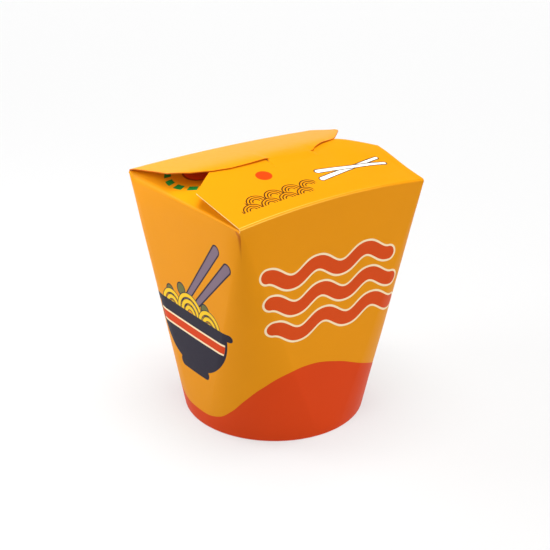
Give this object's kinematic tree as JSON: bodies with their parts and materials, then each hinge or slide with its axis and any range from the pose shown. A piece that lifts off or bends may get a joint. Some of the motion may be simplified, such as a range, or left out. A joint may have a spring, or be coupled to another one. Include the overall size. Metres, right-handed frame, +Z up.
{
  "type": "noodle takeaway box",
  "caption": "Shut card takeaway box for noodles, with a rectangular rim, a round foot and two folded lid flaps locked by a tongue.",
  "frame": {"origin": "centre of the round foot on the surface that the box stands on, which is also the bottom centre of its bounding box", "axes": "+Z up, +X to the right along the front crease, +Y from the front wall to the back wall"},
  "size_m": [0.0976, 0.0844, 0.12],
  "materials": {
    "printed_card": "orange printed card with a red wave round the foot, under a satin varnish",
    "bare_card": "unprinted white card, coated"
  },
  "bodies": {
    "root": {"carton": "printed_card", "base_disc": "bare_card"}
  },
  "joints": []
}
